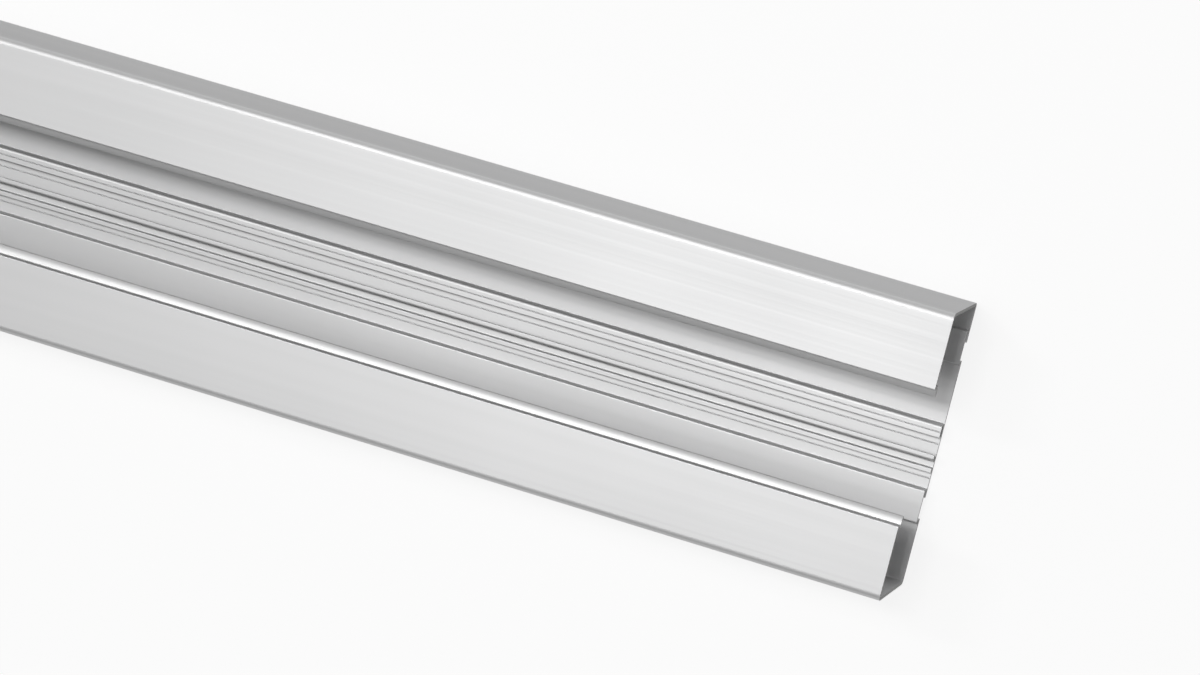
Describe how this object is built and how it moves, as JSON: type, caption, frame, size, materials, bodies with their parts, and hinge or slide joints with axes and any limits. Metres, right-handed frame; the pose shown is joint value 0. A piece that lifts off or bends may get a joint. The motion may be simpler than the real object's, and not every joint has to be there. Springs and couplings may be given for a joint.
{
  "type": "aluminium cable duct",
  "caption": "Open-fronted aluminium trunking profile with stepped front lips, rear hook channels and an inner clip rail, for running cables along a wall.",
  "frame": {"origin": "middle of the rear face, on the level surface the duct lies on", "axes": "+X along the length, +Y towards the side that is uppermost on a wall, +Z out of the open front"},
  "size_m": [2, 0.17, 0.065],
  "materials": {
    "aluminium": "mill finish aluminium, satin, with fine lines along the extrusion"
  },
  "bodies": {
    "root": {"duct_profile": "aluminium"}
  },
  "joints": []
}
